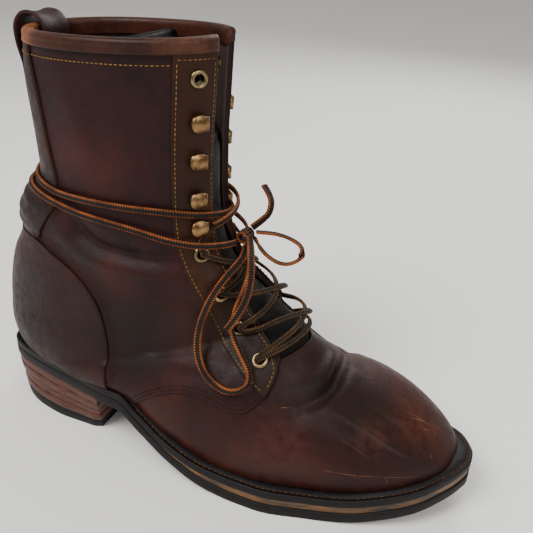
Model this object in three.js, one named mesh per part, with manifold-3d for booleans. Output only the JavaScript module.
// Lace-up work boot for the right foot, in millimetres, +Z up.
// +X points to the toe and +Y to the inner side of the foot. The origin lies on the floor
// at the middle of the heel's flat.

import * as THREE from 'three';
import { mergeVertices } from 'three/addons/utils/BufferGeometryUtils.js';
import Module from 'manifold-3d';

const wasm = await Module();
wasm.setup();

// Driving dimensions
const LENGTH = 313;              // outsole, back of the heel to the toe
const BALL_WIDTH = 112.5;        // outsole across the ball of the foot
const HEEL_WIDTH = 74;           // outsole across the heel
const HEEL_HEIGHT = 31.5;        // floor to the underside of the outsole at the heel
const TOE_SPRING = 15.5;         // floor to the underside of the outsole at the toe
const SHAFT_HEIGHT = 205;        // top of the welt at the heel to the collar
const SHAFT_BACK = 36;           // back of the outsole to the back of the collar
const SHAFT_DEPTH = 116;         // back to front of the shaft at the collar
const SHAFT_WIDTH = 77;          // across the shaft at the collar
const INSTEP_HEIGHT = 74;        // top of the welt to the instep where the laces end
const OUTSOLE_THICKNESS = 6.4;
const MIDSOLE_THICKNESS = 4.6;   // at the ball, running out to a thin edge under the arch
const MIDSOLE_EDGE = 0.8;
const WELT_THICKNESS = 4.8;
const WELT_STRIP = 15;           // width of the welt from its edge to inside the upper
const WELT_REACH = 6.6;          // welt past the upper round the forefoot
const WELT_REACH_HEEL = 1.6;     // welt past the upper round the heel
const UPPER_WALL = 3;            // quarter leather with its lining
const QUARTER_STEP = 1.3;        // how far the quarters stand over the vamp
const OVERLAY_THICKNESS = 1.3;   // counter, backstay and eyestay leather
const BINDING_THICKNESS = 1.2;
const BINDING_DEPTH = 8.5;
const INSOLE_THICKNESS = 3.6;
const TONGUE_THICKNESS = 2.6;
const HEEL_LIFTS = 4;
const TOP_LIFT_THICKNESS = 7;    // rubber lift that walks on the floor
const LIFT_GROOVE = 0.5;         // step between one leather lift and the next
const EYELET_FLANGE = 10.6;
const EYELET_HOLE = 5.4;
const EYELET_RIM = 1.1;
const EYELET_SETBACK = 12;       // throat edge to the middle of an eyelet
const THROAT_HALF = 25.5;        // middle line to the throat's edge where it is widest
const EYESTAY_WIDTH = 25;
const HOOK_PLATE = 10.4;
const HOOK_RISE = 3.6;           // leather to the underside of a hook's plate
const HOOK_METAL = 1.1;
const LACE_WIDTH = 4.8;
const LACE_THICKNESS = 1.9;
const PULL_LOOP_WIDTH = 22;
const PULL_LOOP_THICKNESS = 2.1;
const PULL_LOOP_DROP = 27;       // collar down to the end of the strap
const PULL_LOOP_REACH = 10.4;    // back of the collar to the strap's inner end
const GAP = 0.3;                 // clearance between pieces that touch

// Places worked out from the driving dimensions
const HEEL_BREAST = 0.275;       // front of the heel, as a share of the length
const HEEL_RAKE = 4.5;           // how far the heel's back and front lean in at the floor
const ORIGIN_X = (LENGTH * HEEL_BREAST) / 2;
const SEAT_THICKNESS = OUTSOLE_THICKNESS + WELT_THICKNESS + GAP;
const SEAT_HEIGHT = HEEL_HEIGHT + SEAT_THICKNESS;

const finish = (color, roughness, metalness = 0) => new THREE.MeshStandardMaterial({
  color, roughness, metalness,
});
const leather = finish(0x4a342e, 0.62);
const backLeather = finish(0x5a4038, 0.6);
const facingLeather = finish(0x5d4630, 0.58);
const bindingLeather = finish(0x7a5140, 0.5);
const tongueLeather = finish(0x3b2c22, 0.75);
const insoleLeather = finish(0x9a7048, 0.7);
const stackedLeather = finish(0x5b4238, 0.55);
const blackRubber = finish(0x2b2a2a, 0.8);
const midsoleLeather = finish(0xa2744c, 0.7);
const weltLeather = finish(0x35302e, 0.6);
const brass = finish(0xb59a62, 0.35, 1);
const wovenLace = finish(0xa8682c, 0.85);

// Curves through table rows

// A smooth curve through rows of [place, value] that never overshoots between two rows.
function smoothCurve(rows) {
  const steps = rows.slice(1).map((row, i) => row[0] - rows[i][0]);
  const slopes = rows.slice(1).map((row, i) => (row[1] - rows[i][1]) / steps[i]);
  const tangents = rows.map((row, i) => {
    if (i === 0) return slopes[0];
    if (i === rows.length - 1) return slopes[i - 1];
    if (slopes[i - 1] * slopes[i] <= 0) return 0;
    const before = 2 * steps[i] + steps[i - 1];
    const after = steps[i] + 2 * steps[i - 1];
    return (before + after) / (before / slopes[i - 1] + after / slopes[i]);
  });
  return (place) => {
    const x = THREE.MathUtils.clamp(place, rows[0][0], rows[rows.length - 1][0]);
    let i = 0;
    while (i < rows.length - 2 && x > rows[i + 1][0]) i += 1;
    const h = steps[i];
    const t = (x - rows[i][0]) / h;
    const rise = rows[i + 1][1] - rows[i][1];
    const cubic = h * (tangents[i] + tangents[i + 1]) - 2 * rise;
    const square = 3 * rise - h * (2 * tangents[i] + tangents[i + 1]);
    return rows[i][1] + h * tangents[i] * t + square * t * t + cubic * t * t * t;
  };
}

const column = (table, place, value) => smoothCurve(table.map((row) => [row[place], row[value]]));

// Outline of the sole. at is a share of the length, outer and inner are half widths as
// shares of half the heel or ball width.
const OUTLINE = [
  { at: 0, outer: 0.1, inner: 0.24 },
  { at: 0.012, outer: 0.5, inner: 0.68 },
  { at: 0.04, outer: 0.68, inner: 0.89 },
  { at: 0.1, outer: 0.85, inner: 1.02 },
  { at: 0.18, outer: 1, inner: 1.01 },
  { at: 0.28, outer: 1.11, inner: 0.92 },
  { at: 0.4, outer: 1, inner: 0.75 },
  { at: 0.52, outer: 0.99, inner: 0.84 },
  { at: 0.64, outer: 1, inner: 0.98 },
  { at: 0.74, outer: 0.88, inner: 1.02 },
  { at: 0.84, outer: 0.73, inner: 0.92 },
  { at: 0.92, outer: 0.52, inner: 0.72 },
  { at: 0.97, outer: 0.25, inner: 0.52 },
  { at: 0.993, outer: 0.06, inner: 0.3 },
  { at: 1, outer: -0.06, inner: 0.15 },
];
const turn = (share) => Math.acos(1 - 2 * THREE.MathUtils.clamp(share, 0, 1));
const outerShare = smoothCurve(OUTLINE.map((row) => [turn(row.at), row.outer]));
const innerShare = smoothCurve(OUTLINE.map((row) => [turn(row.at), row.inner]));
const BALL_BLEND = { start: 0.2, length: 0.35 };

// Half width of the sole on one side (-1 outer, 1 inner) at a share of its length, with the
// whole outline drawn in by inset.
function halfWidth(share, side, inset = 0) {
  const { start, length } = BALL_BLEND;
  const blend = THREE.MathUtils.smoothstep(share, start, start + length);
  const half = THREE.MathUtils.lerp(HEEL_WIDTH, BALL_WIDTH, blend) / 2 - inset;
  return half * (side < 0 ? outerShare : innerShare)(turn(share));
}

// Underside of the outsole and the plies above it, along the length.
const UNDERSIDE = [
  { at: 0, heel: 1, toe: 0 },
  { at: 0.325, heel: 1, toe: 0 },
  { at: 0.38, heel: 0.66, toe: 0 },
  { at: 0.45, heel: 0.33, toe: 0 },
  { at: 0.55, heel: 0.05, toe: 0 },
  { at: 0.6, heel: 0, toe: 0 },
  { at: 0.74, heel: 0, toe: 0 },
  { at: 0.8, heel: 0, toe: 0.08 },
  { at: 0.88, heel: 0, toe: 0.42 },
  { at: 1, heel: 0, toe: 1.06 },
];
const undersideHeel = column(UNDERSIDE, 'at', 'heel');
const undersideToe = column(UNDERSIDE, 'at', 'toe');
const underside = (share) => HEEL_HEIGHT * undersideHeel(share) + TOE_SPRING * undersideToe(share);

const MIDSOLE_START = 0.4;
const MIDSOLE_FULL = 0.62;
function midsoleThickness(share) {
  if (share < MIDSOLE_START) return 0;
  const grown = THREE.MathUtils.smoothstep(share, MIDSOLE_START, MIDSOLE_FULL);
  return THREE.MathUtils.lerp(MIDSOLE_EDGE, MIDSOLE_THICKNESS, grown) + GAP;
}
const midsoleRamp = (share) => {
  const lead = THREE.MathUtils.clamp(share / MIDSOLE_START, 0, 1);
  return share < MIDSOLE_START ? (MIDSOLE_EDGE + GAP) * THREE.MathUtils.smoothstep(lead, 0.6, 1) : 0;
};
const outsoleTop = (share) => underside(share) + OUTSOLE_THICKNESS;
const weltBottom = (share) => outsoleTop(share) + GAP + midsoleThickness(share) + midsoleRamp(share);
const weltTop = (share) => weltBottom(share) + WELT_THICKNESS;

// The upper's own outline: the sole's, drawn in by the welt's reach.
const WELT_REACH_ROWS = [
  { at: 0, forefoot: 0 },
  { at: 0.25, forefoot: 0 },
  { at: 0.42, forefoot: 0.25 },
  { at: 0.55, forefoot: 0.8 },
  { at: 0.65, forefoot: 1 },
  { at: 1, forefoot: 1 },
];
const reachShare = column(WELT_REACH_ROWS, 'at', 'forefoot');
const weltReach = (share) => THREE.MathUtils.lerp(
  WELT_REACH_HEEL, WELT_REACH - QUARTER_STEP, reachShare(share),
);
const UPPER_START = WELT_REACH_HEEL;
const UPPER_LENGTH = LENGTH - WELT_REACH_HEEL - WELT_REACH + QUARTER_STEP;
const upperHalfWidth = (x, side) => {
  const share = THREE.MathUtils.clamp((x - UPPER_START) / UPPER_LENGTH, 0, 1);
  return halfWidth(share, side, weltReach(share));
};

// Sections of the last. Each section is a flat slice through a low or rear point and a high or
// front point on the boot's middle line. Places along are shares of LENGTH.
// Leg: heights are shares of SHAFT_HEIGHT above the seat, depths are shares of SHAFT_DEPTH
// from the back of the collar, and width is a share of SHAFT_WIDTH.
const LEG = [
  { back: 0.005, backRise: 1.056, front: 1.013, frontRise: 1.068, width: 1.02, widest: 0.5, skew: 0 },
  { back: 0, backRise: 0.993, front: 1, frontRise: 1.015, width: 1, widest: 0.5, skew: 0 },
  { back: -0.017, backRise: 0.883, front: 0.991, frontRise: 0.873, width: 0.985, widest: 0.5, skew: 0 },
  { back: -0.004, backRise: 0.785, front: 0.983, frontRise: 0.761, width: 0.975, widest: 0.5, skew: 0 },
  { back: 0.009, backRise: 0.688, front: 0.983, frontRise: 0.663, width: 0.965, widest: 0.5, skew: 0 },
  { back: 0.004, backRise: 0.615, front: 0.987, frontRise: 0.585, width: 0.955, widest: 0.5, skew: 0 },
  { back: -0.078, backRise: 0.559, front: 1.004, frontRise: 0.527, width: 0.955, widest: 0.49, skew: 0 },
  { back: -0.155, backRise: 0.507, front: 1.026, frontRise: 0.48, width: 0.96, widest: 0.47, skew: 0 },
  { back: -0.172, backRise: 0.468, front: 1.056, frontRise: 0.444, width: 0.965, widest: 0.46, skew: 0 },
  { back: -0.151, backRise: 0.437, front: 1.086, frontRise: 0.415, width: 0.965, widest: 0.45, skew: 0.005 },
  { back: -0.181, backRise: 0.395, front: 1.121, frontRise: 0.393, width: 0.97, widest: 0.44, skew: 0.01 },
  { back: -0.237, backRise: 0.332, front: 1.164, frontRise: 0.371, width: 0.98, widest: 0.42, skew: 0.02 },
  { back: -0.284, backRise: 0.249, front: 1.22, frontRise: 0.351, width: 0.985, widest: 0.4, skew: 0.03 },
  { back: -0.31, backRise: 0.151, front: 1.284, frontRise: 0.329, width: 0.99, widest: 0.37, skew: 0.035 },
  { back: -0.315, backRise: 0.059, front: 1.353, frontRise: 0.307, width: 1, widest: 0.34, skew: 0.04 },
];
// Foot: low and top are shares of LENGTH, rise is a share of INSTEP_HEIGHT above the welt.
const FOOT = [
  { low: 0.016, top: 0.629, rise: 1.17, widest: 0.35, roundTop: 2.1, full: 0.97 },
  { low: 0.064, top: 0.649, rise: 1.109, widest: 0.37, roundTop: 2.1, full: 0.97 },
  { low: 0.16, top: 0.665, rise: 1.049, widest: 0.39, roundTop: 2.1, full: 0.97 },
  { low: 0.281, top: 0.684, rise: 0.974, widest: 0.4, roundTop: 2.05, full: 0.96 },
  { low: 0.399, top: 0.706, rise: 0.9, widest: 0.4, roundTop: 2.05, full: 0.95 },
  { low: 0.511, top: 0.735, rise: 0.832, widest: 0.4, roundTop: 2.05, full: 0.95 },
  { low: 0.607, top: 0.767, rise: 0.774, widest: 0.4, roundTop: 2.1, full: 0.95 },
  { low: 0.696, top: 0.802, rise: 0.705, widest: 0.4, roundTop: 2.1, full: 0.9 },
  { low: 0.773, top: 0.84, rise: 0.605, widest: 0.42, roundTop: 2.15, full: 0.8 },
  { low: 0.837, top: 0.879, rise: 0.481, widest: 0.44, roundTop: 2.2, full: 0.7 },
  { low: 0.888, top: 0.914, rise: 0.354, widest: 0.47, roundTop: 2.25, full: 0.5 },
  { low: 0.927, top: 0.944, rise: 0.216, widest: 0.5, roundTop: 2.3, full: 0.5 },
  { low: 0.952, top: 0.965, rise: 0.102, widest: 0.52, roundTop: 2.3, full: 0.5 },
  { low: 0.97, top: 0.978, rise: 0.004, widest: 0.54, roundTop: 2.3, full: 0.5 },
];
const BELOW_WELT = 12;           // how far the closed form runs on below the welt
const FEATHER_SHARE = 0.965;     // width at the welt against the widest, a little above it
const LEG_ROUND = 2.25;          // 2 is an ellipse, more is squarer
const ROUND_RANGE = { soft: 1.4, square: 4.5 };
const RIDGE_LEAN = 0.035;        // how far the instep's ridge leans to the inner side

const alongX = (share) => share * LENGTH;

function legSection(row) {
  const half = (row.width * SHAFT_WIDTH) / 2;
  return {
    lowX: SHAFT_BACK + row.back * SHAFT_DEPTH,
    lowZ: SEAT_HEIGHT + row.backRise * SHAFT_HEIGHT,
    topX: SHAFT_BACK + row.front * SHAFT_DEPTH,
    topZ: SEAT_HEIGHT + row.frontRise * SHAFT_HEIGHT,
    outer: half * (1 - row.skew),
    inner: half * (1 + row.skew),
    widest: row.widest,
    lowOuter: LEG_ROUND,
    lowInner: LEG_ROUND,
    roundTop: LEG_ROUND,
    lean: 0,
  };
}

// The roundness that brings a section to the wanted share of its width at a share of the way
// from its low end to its widest place.
function roundnessFor(way, share) {
  let [soft, square] = [ROUND_RANGE.soft, ROUND_RANGE.square];
  for (let i = 0; i < 30; i += 1) {
    const round = (soft + square) / 2;
    if ((1 - (1 - way) ** round) ** (1 / round) < share) soft = round;
    else square = round;
  }
  return (soft + square) / 2;
}

function footSection(row) {
  const lowX = alongX(row.low);
  const topX = alongX(row.top);
  const lowZ = weltTop(row.low) - BELOW_WELT;
  const topZ = weltTop(row.top) + row.rise * INSTEP_HEIGHT;
  const reach = BELOW_WELT / (topZ - lowZ);
  const featherX = THREE.MathUtils.lerp(lowX, topX, reach);
  const widestX = THREE.MathUtils.lerp(lowX, topX, row.widest);
  const [outer, inner] = [-1, 1].map((side) => Math.max(
    upperHalfWidth(featherX, side), row.full * upperHalfWidth(widestX, side),
  ) / FEATHER_SHARE);
  return {
    lowX, lowZ, topX, topZ, outer, inner,
    widest: row.widest,
    lowOuter: roundnessFor(reach / row.widest, upperHalfWidth(featherX, -1) / outer),
    lowInner: roundnessFor(reach / row.widest, upperHalfWidth(featherX, 1) / inner),
    roundTop: row.roundTop,
    lean: RIDGE_LEAN * BALL_WIDTH,
  };
}

const SECTIONS = [...LEG.map(legSection), ...FOOT.map(footSection)];
const LAST_SECTION = SECTIONS.length - 1;
const SECTION_KEYS = Object.keys(SECTIONS[0]);

// The section at any place between two rows, by a smooth spline through the rows.
function sectionAt(place) {
  const i = Math.min(Math.floor(place), LAST_SECTION - 1);
  const t = place - i;
  const rows = [i - 1, i, i + 1, i + 2].map(
    (k) => SECTIONS[THREE.MathUtils.clamp(k, 0, LAST_SECTION)],
  );
  const section = {};
  for (const key of SECTION_KEYS) {
    const [p, q, r, s] = rows.map((row) => row[key]);
    const bend = (r - p) / 2;
    const leave = (s - q) / 2;
    section[key] = q + bend * t + (3 * (r - q) - 2 * bend - leave) * t * t
      + (2 * (q - r) + bend + leave) * t * t * t;
  }
  return section;
}

// A point of the last: angle 0 is the low or rear end of the section, half a turn the high or
// front end, and side -1 is the outer side of the foot.
function pointAt(place, angle) {
  const section = sectionAt(place);
  const side = Math.sin(angle) < 0 ? 1 : -1;
  const low = Math.cos(angle) > 0;
  const lowRound = side < 0 ? section.lowOuter : section.lowInner;
  const round = low ? lowRound : section.roundTop;
  const across = Math.abs(Math.sin(angle));
  const along = Math.abs(Math.cos(angle));
  const radius = (across ** round + along ** round) ** (-1 / round);
  const share = low
    ? section.widest * (1 - radius * along)
    : section.widest + (1 - section.widest) * radius * along;
  const width = radius * across;
  const half = side < 0 ? section.outer : section.inner;
  const middle = (section.inner - section.outer) / 2;
  const ridge = low ? middle * (1 - width) : (middle + section.lean) * (1 - width);
  return new THREE.Vector3(
    THREE.MathUtils.lerp(section.lowX, section.topX, share) - ORIGIN_X,
    side * half * width + ridge,
    THREE.MathUtils.lerp(section.lowZ, section.topZ, share),
  );
}

const NUDGE = 0.02;
function normalAt(place, angle) {
  const before = Math.max(place - NUDGE, 0);
  const after = Math.min(place + NUDGE, LAST_SECTION);
  const down = pointAt(after, angle).sub(pointAt(before, angle));
  const round = pointAt(place, angle + NUDGE).sub(pointAt(place, angle - NUDGE));
  return new THREE.Vector3().crossVectors(down, round).normalize();
}

const surfaceAt = (place, angle, offset) => pointAt(place, angle)
  .addScaledVector(normalAt(place, angle), offset);

// The angle at which the surface lies a given distance round the section from its front.
function angleFromFront(place, distance, side) {
  const STEPS = 60;
  let travelled = 0;
  let angle = Math.PI;
  let last = pointAt(place, angle);
  const turnStep = (side * Math.PI) / 2 / STEPS;
  for (let i = 0; i < STEPS; i += 1) {
    const next = pointAt(place, angle + turnStep);
    const step = next.distanceTo(last);
    if (travelled + step >= distance) return angle + (turnStep * (distance - travelled)) / step;
    travelled += step;
    angle += turnStep;
    last = next;
  }
  return angle;
}

// Closed meshes and booleans

// A closed mesh through rings with the same number of points, with flat ends.
function loft(rings) {
  const count = rings[0].length;
  const positions = rings.flat().flatMap((p) => [p.x, p.y, p.z]);
  const faces = [];
  for (let i = 0; i + 1 < rings.length; i += 1) {
    for (let j = 0; j < count; j += 1) {
      const a = i * count + j;
      const b = i * count + ((j + 1) % count);
      faces.push(a, b, b + count, a, b + count, a + count);
    }
  }
  for (const end of [0, rings.length - 1]) {
    const middle = rings[end].reduce((sum, p) => sum.add(p), new THREE.Vector3());
    middle.divideScalar(count);
    const centre = positions.length / 3;
    positions.push(middle.x, middle.y, middle.z);
    for (let j = 0; j < count; j += 1) {
      const a = end * count + j;
      const b = end * count + ((j + 1) % count);
      faces.push(...(end === 0 ? [b, a, centre] : [a, b, centre]));
    }
  }
  const geometry = new THREE.BufferGeometry();
  geometry.setAttribute('position', new THREE.Float32BufferAttribute(positions, 3));
  geometry.setIndex(faces);
  return facingOut(geometry);
}

// Turns every face over when the mesh is inside out.
function facingOut(geometry) {
  const { position } = geometry.attributes;
  const index = geometry.getIndex().array;
  const [a, b, c] = [new THREE.Vector3(), new THREE.Vector3(), new THREE.Vector3()];
  let volume = 0;
  for (let i = 0; i < index.length; i += 3) {
    a.fromBufferAttribute(position, index[i]);
    b.fromBufferAttribute(position, index[i + 1]);
    c.fromBufferAttribute(position, index[i + 2]);
    volume += a.dot(b.cross(c));
  }
  if (volume < 0) {
    for (let i = 0; i < index.length; i += 3) [index[i], index[i + 1]] = [index[i + 1], index[i]];
  }
  return geometry;
}

function toSolid(geometry) {
  const bare = geometry.clone();
  bare.deleteAttribute('normal');
  bare.deleteAttribute('uv');
  const merged = mergeVertices(bare, 1e-4);
  return new wasm.Manifold(new wasm.Mesh({
    numProp: 3,
    vertProperties: new Float32Array(merged.attributes.position.array),
    triVerts: new Uint32Array(merged.getIndex().array),
  }));
}

function toGeometry(solid) {
  const mesh = solid.getMesh();
  const geometry = new THREE.BufferGeometry();
  geometry.setAttribute('position', new THREE.Float32BufferAttribute(mesh.vertProperties, 3));
  geometry.setIndex([...mesh.triVerts]);
  return geometry;
}

const group = new THREE.Group();
function addPiece(name, shape, material) {
  const geometry = shape instanceof THREE.BufferGeometry ? shape : toGeometry(shape);
  const mesh = new THREE.Mesh(geometry, material);
  mesh.name = name;
  group.add(mesh);
  return mesh;
}

// Places along the length, close together round the toe and heel. Every ply of the sole and
// every cut along it uses the same ones, so that they lie evenly on each other.
const SOLE_STATIONS = 26;
function stations(count) {
  const turnTo = (unused, i) => (1 - Math.cos((Math.PI * i) / count)) / 2;
  return Array.from({ length: count + 1 }, turnTo);
}
const SOLE_PLACES = stations(SOLE_STATIONS);

// A slab between two heights over the whole width, as a solid, for cutting.
const CUT_MARGIN = 60;
const PAST_THE_ENDS = 0.1;
function curvedSlab(bottomAt, topAt) {
  const places = [-PAST_THE_ENDS, ...SOLE_PLACES, 1 + PAST_THE_ENDS];
  const rings = places.map((place) => {
    const share = THREE.MathUtils.clamp(place, 0, 1);
    const corner = (side, heightAt) => new THREE.Vector3(
      alongX(place) - ORIGIN_X, side * (BALL_WIDTH / 2 + CUT_MARGIN), heightAt(share, side),
    );
    return [corner(-1, bottomAt), corner(1, bottomAt), corner(1, topAt), corner(-1, topAt)];
  });
  return toSolid(loft(rings));
}

// A side-view outline carried right across the boot, or over one side of it.
function sidePrism(points, from = -BALL_WIDTH, to = BALL_WIDTH) {
  const shape = new THREE.Shape(points.map(([x, z]) => new THREE.Vector2(x - ORIGIN_X, z)));
  const geometry = new THREE.ExtrudeGeometry(shape, { depth: to - from, bevelEnabled: false });
  geometry.rotateX(Math.PI / 2);
  geometry.translate(0, to, 0);
  return toSolid(geometry);
}

// Sole

// A ply of the sole with its edge drawn in by inset and its corners eased by ease.
function ply(bottomAt, topAt, inset, ease, start = 0) {
  const rings = SOLE_PLACES.filter((share) => share >= start).map((share) => {
    const x = inset + share * (LENGTH - 2 * inset) - ORIGIN_X;
    const [bottom, top] = [bottomAt(share), topAt(share)];
    const [outer, inner] = [-halfWidth(share, -1, inset), halfWidth(share, 1, inset)];
    return [
      [outer + ease, bottom], [inner - ease, bottom], [inner, bottom + ease],
      [inner, top - ease], [inner - ease, top], [outer + ease, top],
      [outer, top - ease], [outer, bottom + ease],
    ].map(([y, z]) => new THREE.Vector3(x, y, z));
  });
  return loft(rings);
}

const SOLE_EASE = 0.7;
const MIDSOLE_INSET = 0.9;
const MIDSOLE_EASE = 0.25;
const WELT_EASE = 0.8;

function weltStrip() {
  const plate = toSolid(ply(weltBottom, weltTop, 0, WELT_EASE));
  const below = (share) => weltBottom(share) - WELT_THICKNESS;
  const above = (share) => weltTop(share) + WELT_THICKNESS;
  return plate.subtract(toSolid(ply(below, above, WELT_STRIP, SOLE_EASE)));
}

addPiece('outsole', ply(underside, outsoleTop, 0, SOLE_EASE), blackRubber);
addPiece('midsole', ply(
  (share) => outsoleTop(share) + GAP,
  (share) => outsoleTop(share) + midsoleThickness(share),
  MIDSOLE_INSET, MIDSOLE_EASE, MIDSOLE_START,
), midsoleLeather);
addPiece('welt', weltStrip(), weltLeather);

// Heel: leather lifts over a rubber top lift. The top follows the outsole and the floor end has
// its own outline, as shares of the heel's length and of half the heel width.
const HEEL_FOOTPRINT = [
  { at: 0, outer: 0.12, inner: 0.24 },
  { at: 0.04, outer: 0.42, inner: 0.6 },
  { at: 0.12, outer: 0.6, inner: 0.8 },
  { at: 0.36, outer: 0.84, inner: 0.96 },
  { at: 0.65, outer: 0.94, inner: 0.97 },
  { at: 0.92, outer: 0.94, inner: 0.94 },
  { at: 1, outer: 0.88, inner: 0.88 },
];
const HEEL_STATIONS = 12;
const heelOuter = column(HEEL_FOOTPRINT, 'at', 'outer');
const heelInner = column(HEEL_FOOTPRINT, 'at', 'inner');
function heelLift(bottom, top, inset) {
  const rings = stations(HEEL_STATIONS).map((along) => {
    const corner = (z, side) => {
      const lean = 1 - z / HEEL_HEIGHT;
      const back = HEEL_RAKE * lean + inset;
      const front = alongX(HEEL_BREAST) - HEEL_RAKE * lean - inset;
      const topWidth = halfWidth(along * HEEL_BREAST, side);
      const floorWidth = (side < 0 ? heelOuter : heelInner)(along) * HEEL_WIDTH / 2;
      const y = THREE.MathUtils.lerp(topWidth, floorWidth, lean) - inset;
      return new THREE.Vector3(THREE.MathUtils.lerp(back, front, along) - ORIGIN_X, side * y, z);
    };
    return [corner(bottom, -1), corner(bottom, 1), corner(top, 1), corner(top, -1)];
  });
  return loft(rings);
}

addPiece('heel_top_lift', heelLift(0, TOP_LIFT_THICKNESS, 0), blackRubber);
const LIFT_PITCH = (HEEL_HEIGHT - TOP_LIFT_THICKNESS) / HEEL_LIFTS;
for (let i = 0; i < HEEL_LIFTS; i += 1) {
  const bottom = TOP_LIFT_THICKNESS + GAP + i * LIFT_PITCH;
  const inset = i % 2 === 0 ? 0 : LIFT_GROOVE;
  const lift = heelLift(bottom, bottom + LIFT_PITCH - GAP, inset);
  addPiece(`heel_lift_${HEEL_LIFTS - i}`, lift, stackedLeather);
}

// Upper

const RING_POINTS = 22;

// The whole last grown or shrunk by offset, as a closed solid.
const forms = new Map();
function form(offset) {
  if (!forms.has(offset)) {
    const rings = [];
    for (let place = 0; place <= LAST_SECTION; place += 1) {
      const ring = [];
      for (let j = 0; j < RING_POINTS; j += 1) {
        ring.push(surfaceAt(place, (2 * Math.PI * j) / RING_POINTS, offset));
      }
      rings.push(ring);
    }
    forms.set(offset, toSolid(loft(rings)));
  }
  return forms.get(offset);
}

// Below the welt everything of the upper is cut away, so it stands open on the welt.
const underWelt = curvedSlab((share) => -CUT_MARGIN, (share) => weltTop(share) + GAP);

// Front edge of the quarters in side view: the low arch over the vamp, then the round lobe that
// holds the lowest eyelet. along is a share of LENGTH, rise of INSTEP_HEIGHT above the welt.
const QUARTER_EDGE = [
  { along: 0.361, rise: -0.128 },
  { along: 0.371, rise: 0.052 },
  { along: 0.399, rise: 0.244 },
  { along: 0.444, rise: 0.452 },
  { along: 0.495, rise: 0.571 },
  { along: 0.546, rise: 0.593 },
  { along: 0.578, rise: 0.562 },
  { along: 0.607, rise: 0.603 },
  { along: 0.629, rise: 0.697 },
  { along: 0.642, rise: 0.805 },
  { along: 0.641, rise: 0.914 },
  { along: 0.626, rise: 1.049 },
  { along: 0.601, rise: 1.212 },
];
const sidePoint = ({ along, rise }) => [
  alongX(along), weltTop(along) + rise * INSTEP_HEIGHT,
];
function splineThrough(points, count) {
  const curve = new THREE.SplineCurve(points.map(([x, z]) => new THREE.Vector2(x, z)));
  return curve.getPoints(count).map((p) => [p.x, p.y]);
}
const quarterEdge = splineThrough(QUARTER_EDGE.map(sidePoint), 26);
const OVER_ALL = SEAT_HEIGHT + 2 * SHAFT_HEIGHT;
const quarterRegion = sidePrism([
  [-CUT_MARGIN, -CUT_MARGIN], [quarterEdge[0][0], -CUT_MARGIN], ...quarterEdge,
  [quarterEdge.at(-1)[0], OVER_ALL], [-CUT_MARGIN, OVER_ALL],
]);

// The throat between the quarters: half its width on each side, round the section, as shares of
// THROAT_HALF, by place along the last. The inner quarter stands further open.
const THROAT = [
  { place: 0, outer: 0.353, inner: 0.824 },
  { place: 4, outer: 0.353, inner: 0.784 },
  { place: 8, outer: 0.412, inner: 0.667 },
  { place: 10.5, outer: 0.494, inner: 0.667 },
  { place: 12.5, outer: 0.667, inner: 0.725 },
  { place: 14.3, outer: 0.882, inner: 0.824 },
  { place: 16, outer: 1, inner: 0.902 },
  { place: 17.1, outer: 1, inner: 0.902 },
  { place: 17.6, outer: 0.667, inner: 0.588 },
];
const throatOuter = column(THROAT, 'place', 'outer');
const throatInner = column(THROAT, 'place', 'inner');
const throatEdge = (place, side) => THROAT_HALF * (side < 0 ? throatOuter : throatInner)(place);
const THROAT_END = THROAT.at(-1).place;

// The angle round the section for a distance from the front, counted outwards from the ridge:
// below zero to the outer side and above zero to the inner.
const angleAcross = (place, across) => angleFromFront(place, Math.abs(across), across < 0 ? -1 : 1);

// A strip of the surface between two lines across it, from one height off it to another.
function strip({ from, to, near, far, low, high, across = 4, steps = 14 }) {
  const rings = [];
  for (let i = 0; i <= steps; i += 1) {
    const place = THREE.MathUtils.lerp(from, to, i / steps);
    const angles = [];
    for (let j = 0; j <= across; j += 1) {
      angles.push(angleAcross(place, THREE.MathUtils.lerp(near(place), far(place), j / across)));
    }
    rings.push([
      ...angles.map((angle) => surfaceAt(place, angle, low)),
      ...angles.reverse().map((angle) => surfaceAt(place, angle, high)),
    ]);
  }
  return toSolid(loft(rings));
}

const THROAT_CUT = 8;
const throatOpening = strip({
  from: 0,
  to: THROAT_END,
  near: (place) => -throatEdge(place, -1),
  far: (place) => throatEdge(place, 1),
  low: -THROAT_CUT,
  high: THROAT_CUT,
  steps: 18,
});

// The collar is cut just under its rolled binding, rising to the front and to the inner side.
const COLLAR_RISE = 6;
const COLLAR_TILT = 3;
const COLLAR_FRONT = 0.48;
const collarTop = (share, side) => SEAT_HEIGHT + SHAFT_HEIGHT
  + (COLLAR_RISE * share) / COLLAR_FRONT + COLLAR_TILT * side;
const collarSlab = (drop, height) => curvedSlab(
  (share, side) => collarTop(share, side) - drop,
  (share, side) => collarTop(share, side) - drop + height,
);
const aboveCollar = collarSlab(BINDING_THICKNESS + GAP, 2 * CUT_MARGIN);

const outside = form(0).intersect(quarterRegion).add(form(-QUARTER_STEP));

// Eyelets and hooks down each side of the throat, by place along the last.
const EYELET_ROWS = [
  { place: 1.6 }, { place: 7.45 }, { place: 11.4 }, { place: 14.25 }, { place: 17.2 },
];
const HOOK_ROWS = [{ place: 2.4 }, { place: 3.34 }, { place: 4.5 }, { place: 5.72 }];
const SIDES = [{ name: 'outer', side: -1 }, { name: 'inner', side: 1 }];
const TOP_OF_EYESTAY = GAP + OVERLAY_THICKNESS;
const EYELET_SEAT = TOP_OF_EYESTAY + 3 * GAP;
const HOOK_SEAT = TOP_OF_EYESTAY + GAP;
const BARREL_WALL = 0.6;
const BARREL_CLEARANCE = 0.35;
const ROUND_STEPS = 8;

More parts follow.
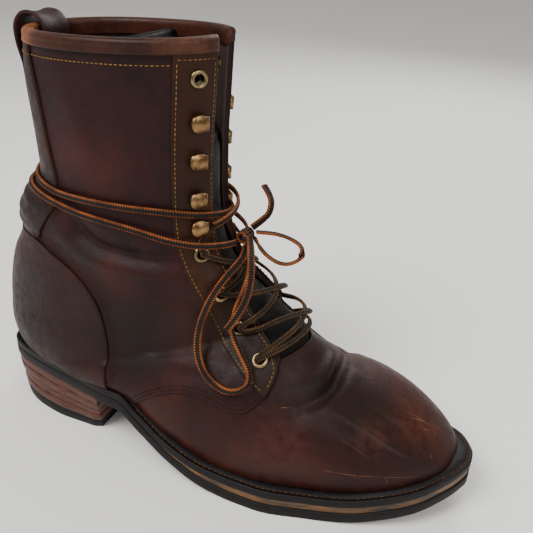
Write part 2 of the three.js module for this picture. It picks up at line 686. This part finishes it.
// Stands a piece on the surface: its own x points to the throat and its z straight out.
function standOn(place, side, distance, height) {
  const across = side * distance;
  const angle = angleAcross(place, across);
  const out = normalAt(place, angle);
  const towards = pointAt(place, angleAcross(place, across - side)).sub(pointAt(place, angle));
  towards.addScaledVector(out, -towards.dot(out)).normalize();
  const along = new THREE.Vector3().crossVectors(out, towards);
  const matrix = new THREE.Matrix4().makeBasis(towards, along, out);
  return matrix.setPosition(surfaceAt(place, angle, height));
}

function latheAlongZ(profile) {
  const outline = profile.map(([radius, z]) => new THREE.Vector2(radius, z));
  return new THREE.LatheGeometry(outline, ROUND_STEPS).rotateX(Math.PI / 2);
}

const seatFor = (row, side, height) => standOn(
  row.place, side, throatEdge(row.place, side) + EYELET_SETBACK, height,
);
const eyeletSeat = (row, side) => seatFor(row, side, EYELET_SEAT);
const barrelRadius = EYELET_HOLE / 2 + BARREL_WALL;
const barrelDepth = UPPER_WALL + EYELET_SEAT + GAP;
const eyeletCuts = (profile) => SIDES.flatMap(({ side }) => EYELET_ROWS.map(
  (row) => toSolid(latheAlongZ(profile).applyMatrix4(eyeletSeat(row, side))),
));
const without = (solid, cuts) => cuts.reduce((left, cut) => left.subtract(cut), solid);

// Through the leather each eyelet has a hole for its barrel and a flat seat for its flange.
const holeRadius = barrelRadius + BARREL_CLEARANCE;
const seatRadius = EYELET_FLANGE / 2 + BARREL_CLEARANCE;
const eyeletHoles = eyeletCuts([
  [0, -3 * barrelDepth], [holeRadius, -3 * barrelDepth], [holeRadius, -GAP / 2],
  [seatRadius, -GAP / 2], [seatRadius, barrelDepth], [0, barrelDepth],
]);
const withHoles = (solid) => without(solid, eyeletHoles);

const inside = form(-UPPER_WALL);
const upper = outside.subtract(inside)
  .subtract(underWelt).subtract(aboveCollar).subtract(throatOpening);
addPiece('upper', withHoles(upper), leather);

// Insole: the inside of the last just over the welt.
const insoleSlab = curvedSlab(
  (share) => weltTop(share) + GAP, (share) => weltTop(share) + GAP + INSOLE_THICKNESS,
);
addPiece('insole', form(-UPPER_WALL - GAP).intersect(insoleSlab), insoleLeather);

// Tongue: a curved sheet from under the vamp up the throat, leaning back into the shaft.
// half is its half width as a share of SHAFT_WIDTH, curl how far its edges bend back as a share
// of SHAFT_DEPTH.
const TONGUE = [
  { along: 0.715, rise: 0.83, half: 0.28, curl: 0.07 },
  { along: 0.67, rise: 0.95, half: 0.34, curl: 0.12 },
  { along: 0.63, rise: 1.06, half: 0.38, curl: 0.16 },
  { along: 0.585, rise: 1.14, half: 0.38, curl: 0.19 },
  { along: 0.54, rise: 1.26, half: 0.38, curl: 0.21 },
  { along: 0.475, rise: 1.52, half: 0.38, curl: 0.2 },
  { along: 0.435, rise: 1.82, half: 0.38, curl: 0.16 },
  { along: 0.4, rise: 2.14, half: 0.38, curl: 0.11 },
  { along: 0.358, rise: 2.48, half: 0.38, curl: 0.07 },
  { along: 0.328, rise: 2.7, half: 0.33, curl: 0.05 },
  { along: 0.316, rise: 2.79, half: 0.16, curl: 0.03 },
];
const TONGUE_CLEARANCE = 0.95;  // clear of the eyelet barrels inside the quarters
const TONGUE_STEPS = 13;
const TONGUE_ACROSS = 6;
const tongueLine = new THREE.SplineCurve(TONGUE.map(({ along, rise }) => new THREE.Vector2(
  alongX(along) - ORIGIN_X, weltTop(along) + rise * INSTEP_HEIGHT,
)));
const tongueRow = (key) => smoothCurve(TONGUE.map((row, i) => [i / (TONGUE.length - 1), row[key]]));
const [tongueHalf, tongueCurl] = [tongueRow('half'), tongueRow('curl')];
function tongueSheet() {
  const rings = [];
  for (let i = 0; i <= TONGUE_STEPS; i += 1) {
    const t = i / TONGUE_STEPS;
    const line = tongueLine.getPoint(t);
    const run = tongueLine.getTangent(t);
    const back = new THREE.Vector2(-run.y, run.x).multiplyScalar(-1);
    const front = [];
    const rear = [];
    for (let j = 0; j <= TONGUE_ACROSS; j += 1) {
      const across = -1 + (2 * j) / TONGUE_ACROSS;
      const y = across * tongueHalf(t) * SHAFT_WIDTH + RIDGE_LEAN * BALL_WIDTH * (1 - t);
      const sag = tongueCurl(t) * SHAFT_DEPTH * across * across;
      const at = (depth) => new THREE.Vector3(
        line.x - back.x * (sag + depth), y, line.y - back.y * (sag + depth),
      );
      front.push(at(0));
      rear.push(at(TONGUE_THICKNESS));
    }
    rings.push([...front, ...rear.reverse()]);
  }
  return loft(rings);
}
const tongue = toSolid(tongueSheet()).intersect(form(-UPPER_WALL - TONGUE_CLEARANCE));
addPiece('tongue', tongue, tongueLeather);

// Overlays: counter, backstay and eyestays, each cut from the shell between two larger forms.
const overlayShell = form(TOP_OF_EYESTAY).subtract(form(GAP));
const COUNTER_EDGE = [
  { along: -0.064, rise: 1.189 },
  { along: 0.064, rise: 1.189 },
  { along: 0.144, rise: 1.169 },
  { along: 0.188, rise: 1.101 },
  { along: 0.224, rise: 1.02 },
  { along: 0.256, rise: 0.904 },
  { along: 0.283, rise: 0.712 },
  { along: 0.297, rise: 0.454 },
  { along: 0.302, rise: 0.224 },
  { along: 0.305, rise: 0.022 },
  { along: 0.31, rise: -0.285 },
];
const counterEdge = splineThrough(COUNTER_EDGE.map(sidePoint), 22);
const counterRegion = sidePrism([
  ...counterEdge, [counterEdge.at(-1)[0], -CUT_MARGIN], [counterEdge[0][0], -CUT_MARGIN],
]);
addPiece('heel_counter', overlayShell.intersect(counterRegion).subtract(underWelt), backLeather);

// Side edge of the panel up the back, from the collar down to the counter. along is a share of
// LENGTH and up a share of SHAFT_HEIGHT above the seat.
const BACK_PANEL = [
  { along: 0.157, up: 1.02 },
  { along: 0.18, up: 0.875 },
  { along: 0.187, up: 0.81 },
  { along: 0.196, up: 0.71 },
  { along: 0.207, up: 0.61 },
  { along: 0.196, up: 0.54 },
  { along: 0.165, up: 0.475 },
  { along: 0.147, up: 0.41 },
];
const backPanelEdge = splineThrough(
  BACK_PANEL.map(({ along, up }) => [alongX(along), SEAT_HEIGHT + up * SHAFT_HEIGHT]), 14,
);
const backPanelRegion = sidePrism([
  ...backPanelEdge, [-CUT_MARGIN, backPanelEdge.at(-1)[1]], [-CUT_MARGIN, backPanelEdge[0][1]],
]);
const SEAM_GAP = 0.5;
const counterLine = counterEdge.map(([x, z]) => [x, z + SEAM_GAP]);
const aboveCounter = sidePrism([
  ...counterLine, [counterLine.at(-1)[0], OVER_ALL], [counterLine[0][0], OVER_ALL],
]);
const bindingSpan = collarSlab(BINDING_DEPTH, 2 * CUT_MARGIN);
const underBinding = collarSlab(BINDING_DEPTH + SEAM_GAP, 2 * CUT_MARGIN);
const backstay = overlayShell.intersect(backPanelRegion)
  .intersect(aboveCounter).subtract(underBinding);
addPiece('backstay', backstay, backLeather);

// Collar binding: leather rolled over the collar's cut edge, open at the throat.
const bindingOut = form(GAP + BINDING_THICKNESS);
const bindingIn = form(-UPPER_WALL - GAP - BINDING_THICKNESS);
const collarCore = form(GAP).subtract(form(-UPPER_WALL - GAP))
  .subtract(collarSlab(BINDING_THICKNESS, 2 * CUT_MARGIN));
const overCollar = collarSlab(0, 2 * CUT_MARGIN);
const binding = bindingOut.subtract(bindingIn).intersect(bindingSpan)
  .subtract(overCollar).subtract(collarCore).subtract(throatOpening);
addPiece('collar_binding', binding, bindingLeather);

const EYESTAY = { from: 1.2, to: 18, front: 1 };
const STRIP_REACH = 5;
for (const { name, side } of SIDES) {
  const along = strip({
    from: EYESTAY.from,
    to: EYESTAY.to,
    near: (place) => side * (throatEdge(place, side) + EYESTAY.front),
    far: (place) => side * (throatEdge(place, side) + EYESTAY_WIDTH),
    low: -STRIP_REACH,
    high: STRIP_REACH,
    across: 3,
    steps: 12,
  });
  const eyestay = overlayShell.intersect(along).intersect(quarterRegion).subtract(underBinding);
  addPiece(`eyestay_${name}`, withHoles(eyestay), facingLeather);
}

// Hardware
const RIM_CREST = 0.8;           // the rim's highest line, as a share of the flange
const RIM_AT_HOLE = 0.5;         // height left at the hole, as a share of the rim
function eyelet(matrix) {
  const flange = EYELET_FLANGE / 2;
  const bore = EYELET_HOLE / 2;
  const shape = latheAlongZ([
    [bore, -barrelDepth], [barrelRadius, -barrelDepth], [barrelRadius, 0], [flange, 0],
    [flange * RIM_CREST, EYELET_RIM], [bore, EYELET_RIM * RIM_AT_HOLE], [bore, -barrelDepth],
  ]);
  return facingOut(mergeVertices(bareGeometry(shape), 1e-4)).applyMatrix4(matrix);
}

// Keeps only the positions of a geometry.
function bareGeometry(geometry) {
  geometry.deleteAttribute('normal');
  geometry.deleteAttribute('uv');
  return geometry;
}

const HOOK_NECK = { width: 4.2, reach: 4.6 };
const HOOK_BASE = 3.4;
const HOOK_TOP = HOOK_PLATE / 2 - 0.6;
function hookPlate(radius, height) {
  const half = HOOK_NECK.width / 2;
  const start = Math.asin(half / radius);
  const shape = new THREE.Shape();
  shape.moveTo(HOOK_NECK.reach, -half);
  shape.lineTo(HOOK_NECK.reach, half);
  shape.absarc(0, 0, radius, start, 2 * Math.PI - start, false);
  const geometry = new THREE.ExtrudeGeometry(shape, {
    depth: HOOK_METAL, bevelEnabled: false, curveSegments: 3,
  });
  return toSolid(geometry.translate(0, 0, height));
}

function hook(matrix) {
  const neck = new THREE.BoxGeometry(HOOK_METAL, HOOK_NECK.width, HOOK_RISE + HOOK_METAL);
  neck.translate(HOOK_NECK.reach - HOOK_METAL / 2, 0, (HOOK_RISE + HOOK_METAL) / 2);
  const plates = hookPlate(HOOK_BASE, 0).add(hookPlate(HOOK_TOP, HOOK_RISE));
  return toGeometry(plates.add(toSolid(neck))).applyMatrix4(matrix);
}

for (const { name, side } of SIDES) {
  EYELET_ROWS.forEach((row, i) => {
    addPiece(`eyelet_${name}_${i + 1}`, eyelet(eyeletSeat(row, side)), brass);
  });
  HOOK_ROWS.forEach((row, i) => {
    addPiece(`hook_${name}_${i + 1}`, hook(seatFor(row, side, HOOK_SEAT)), brass);
  });
}

// Lace
const LACE_HEIGHT = EYELET_SEAT + EYELET_RIM + 4 * GAP + LACE_THICKNESS / 2;
const WRAP_HEIGHT = TOP_OF_EYESTAY + 3 * GAP + LACE_THICKNESS / 2;

// A flat lace over the last through stops of place, angle round it and height.
function surfaceLace(stops, steps) {
  const path = new THREE.CatmullRomCurve3(stops.map((stop) => new THREE.Vector3(...stop)));
  const spots = path.getPoints(steps);
  return ribbon(
    spots.map((spot) => surfaceAt(spot.x, spot.y, spot.z)),
    spots.map((spot) => normalAt(spot.x, spot.y)),
  );
}

// A flat ribbon through points, its face turned to the directions given.
function ribbon(points, outs) {
  const rings = points.map((point, i) => {
    const after = points[Math.min(i + 1, points.length - 1)];
    const run = after.clone().sub(points[Math.max(i - 1, 0)]).normalize();
    const edge = new THREE.Vector3().crossVectors(run, outs[i]).normalize();
    const face = new THREE.Vector3().crossVectors(edge, run).normalize();
    edge.multiplyScalar(LACE_WIDTH / 2);
    face.multiplyScalar(LACE_THICKNESS / 2);
    return [[-1, -1], [1, -1], [1, 1], [-1, 1]].map(([a, b]) => point.clone()
      .addScaledVector(edge, a).addScaledVector(face, b));
  });
  return loft(rings);
}

const laceStop = (place, angle, over = 0) => [place, angle, LACE_HEIGHT + over];
const stopAcross = (row, side, fromEdge) => laceStop(
  row.place, angleAcross(row.place, side * (throatEdge(row.place, side) + fromEdge)),
);
const rowStop = (row, side) => stopAcross(row, side, EYELET_SETBACK);

// Crossings: from each eyelet over the throat to the next one up on the other side, and a bar
// from the highest laced eyelet to the lowest hook on each side, all joined where they meet.
const LACED_ROWS = EYELET_ROWS.slice(1);
const THROAT_LIFT = 1.5;
const SHORT_OF_HOOK = 0.62;
const crossings = [];
for (let i = 0; i + 1 < LACED_ROWS.length; i += 1) {
  const [upperRow, lowerRow] = [LACED_ROWS[i], LACED_ROWS[i + 1]];
  for (const { side } of SIDES) {
    crossings.push(toSolid(surfaceLace([
      rowStop(lowerRow, side),
      laceStop((lowerRow.place + upperRow.place) / 2, Math.PI, THROAT_LIFT),
      rowStop(upperRow, -side),
    ], 6)));
  }
}
for (const { side } of SIDES) {
  const [start, end] = [rowStop(LACED_ROWS[0], side), rowStop(HOOK_ROWS.at(-1), side)];
  crossings.push(toSolid(surfaceLace([start, [end[0] + SHORT_OF_HOOK, end[1], end[2]]], 2)));
}
const overEyelets = eyeletCuts([
  [0, -barrelDepth], [seatRadius, -barrelDepth], [seatRadius, EYELET_RIM + GAP],
  [0, EYELET_RIM + GAP],
]);
const crossed = crossings.reduce((joined, run) => joined.add(run));
addPiece('lace_crossings', without(crossed, overEyelets), wovenLace);

// Each end of the lace starts at a lowest hook, crosses the throat and goes once round the ankle
// to the bow. turn counts half turns from the back round the outer side: 1 is the front.
const WRAP_STEPS = 40;
const WRAP_UPPER = [
  { place: 5.45, turn: 1, over: 0 }, { place: 5.14, turn: 0.85, over: 0.4 },
  { place: 4.95, turn: 0.68 }, { place: 5.1, turn: 0.46 }, { place: 5.2, turn: 0.35 },
  { place: 5.15, turn: 0.19 },
  { place: 4.95, turn: 0, over: 0.5 }, { place: 4.92, turn: -0.22, over: 1 },
  { place: 5, turn: -0.34, over: 2.8 }, { place: 5.15, turn: -0.44, over: 3 },
  { place: 5.55, turn: -0.57, over: 3 }, { place: 6.2, turn: -0.68, over: 3 },
  { place: 6.75, turn: -0.78, over: 5.2 }, { place: 7.2, turn: -0.91, over: 6.3 },
];
const WRAP_LOWER = [
  { place: 5.45, turn: 1, over: 3.8 }, { place: 5.14, turn: 1.18, over: 3 },
  { place: 5.05, turn: 1.32, over: 0 }, { place: 5, turn: 1.44 }, { place: 5.2, turn: 1.6 },
  { place: 5.55, turn: 1.78 }, { place: 5.75, turn: 2 }, { place: 5.72, turn: 2.19 },
  { place: 5.75, turn: 2.35 }, { place: 5.85, turn: 2.46 }, { place: 6, turn: 2.62 },
  { place: 6.35, turn: 2.74, over: 2.5 }, { place: 6.6, turn: 2.82, over: 5 },
  { place: 7.2, turn: 2.965, over: 4.6 },
];
const LOWEST_HOOK = HOOK_ROWS.at(-1);
const FROM_HOOK = EYELET_SETBACK - HOOK_NECK.reach - 2 * GAP - LACE_WIDTH / 2;
function wrap(startSide, startOver, rows) {
  const start = stopAcross(LOWEST_HOOK, startSide, FROM_HOOK);
  const stops = rows.map(({ place, turn, over = 0 }) => [place, Math.PI * turn, WRAP_HEIGHT + over]);
  return surfaceLace([[start[0], start[1], WRAP_HEIGHT + startOver], ...stops], WRAP_STEPS);
}
addPiece('lace_wrap_upper', wrap(1, 0, WRAP_UPPER), wovenLace);
addPiece('lace_wrap_lower', wrap(-1, 2, WRAP_LOWER), wovenLace);

// The bow: a knot before the instep, two loops and two ends hanging free. Points are
// millimetres from the back of the outsole, across and up.
const KNOT = { x: 163.5, y: 5, z: 143 };
const KNOT_SIZE = { x: 5.5, y: 7, z: 5 };
const knot = new THREE.SphereGeometry(1, 10, 7);
knot.rotateX(Math.PI / 2).scale(KNOT_SIZE.x, KNOT_SIZE.y, KNOT_SIZE.z);
knot.translate(KNOT.x - ORIGIN_X, KNOT.y, KNOT.z);
addPiece('lace_knot', knot, wovenLace);

const LOOP_OUTER = [
  [166.9, -1.1, 139.8], [168.5, -10, 136], [164, -23, 128], [159, -30, 117], [155, -34, 103],
  [155, -38, 90], [160, -43, 81], [168, -47, 76], [177, -49, 74], [184, -48, 75],
  [189, -45, 79], [188, -41, 85], [180, -36, 93], [174, -33, 102], [173, -28, 112],
  [174, -20, 121], [173, -10, 129], [167, 2, 137.9],
];
const LOOP_INNER = [
  [167.2, 10.8, 140.5], [169, 13, 135], [174, 13, 130], [181, 14, 126], [188, 15, 126],
  [194, 17, 130], [194, 19, 136], [188, 19, 140], [179, 16, 143], [168.6, 9.9, 144.6],
];
const END_INNER = [
  [165.8, 9.6, 146.9], [171, 13, 152], [174, 14, 156], [174.5, 16, 161.5], [172, 18.5, 165.5],
  [167.4, 21, 169.8],
];
const END_OUTER = [
  [168.7, -0.2, 144.5], [175, -13, 142], [180, -24, 134], [181, -31, 125], [179, -37, 117],
  [175, -43, 109],
];
const LOOSE_LACE = 3;
function looseLace(points, steps) {
  const spots = points.map(([x, y, z]) => new THREE.Vector3(x - ORIGIN_X, y, z));
  const path = new THREE.CatmullRomCurve3(spots);
  const section = new THREE.Shape();
  section.absarc(0, 0, LOOSE_LACE / 2, 0, 2 * Math.PI, false);
  return new THREE.ExtrudeGeometry(section, { steps, extrudePath: path, curveSegments: 3 });
}
addPiece('lace_loop_outer', looseLace(LOOP_OUTER, 24), wovenLace);
addPiece('lace_loop_inner', looseLace(LOOP_INNER, 16), wovenLace);
addPiece('lace_end_outer', looseLace(END_OUTER, 9), wovenLace);
addPiece('lace_end_inner', looseLace(END_INNER, 9), wovenLace);

// Pull loop: a folded strap sewn to the back, bowed out over the collar. back is measured
// from the back of the collar as a share of PULL_LOOP_REACH, rise as a share of PULL_LOOP_DROP.
const PULL_LOOP = [
  { back: -0.481, rise: -1 },
  { back: -0.51, rise: -0.741 },
  { back: -0.75, rise: -0.37 },
  { back: -0.808, rise: -0.037 },
  { back: -0.481, rise: 0.156 },
  { back: 0, rise: 0.215 },
  { back: 0.577, rise: 0.17 },
  { back: 0.962, rise: -0.037 },
  { back: 1, rise: -0.407 },
];
function strap(line, thickness, width) {
  const left = [];
  const right = [];
  line.forEach(([x, z], i) => {
    const [before, after] = [line[Math.max(i - 1, 0)], line[Math.min(i + 1, line.length - 1)]];
    const run = new THREE.Vector2(after[0] - before[0], after[1] - before[1]).normalize();
    left.push([x - (run.y * thickness) / 2, z + (run.x * thickness) / 2]);
    right.push([x + (run.y * thickness) / 2, z - (run.x * thickness) / 2]);
  });
  return sidePrism([...left, ...right.reverse()], -width / 2, width / 2);
}
const pullLine = splineThrough(PULL_LOOP.map(({ back, rise }) => [
  SHAFT_BACK + back * PULL_LOOP_REACH, SEAT_HEIGHT + SHAFT_HEIGHT + rise * PULL_LOOP_DROP,
]), 16);
addPiece('pull_loop', strap(pullLine, PULL_LOOP_THICKNESS, PULL_LOOP_WIDTH), backLeather);

export default group;
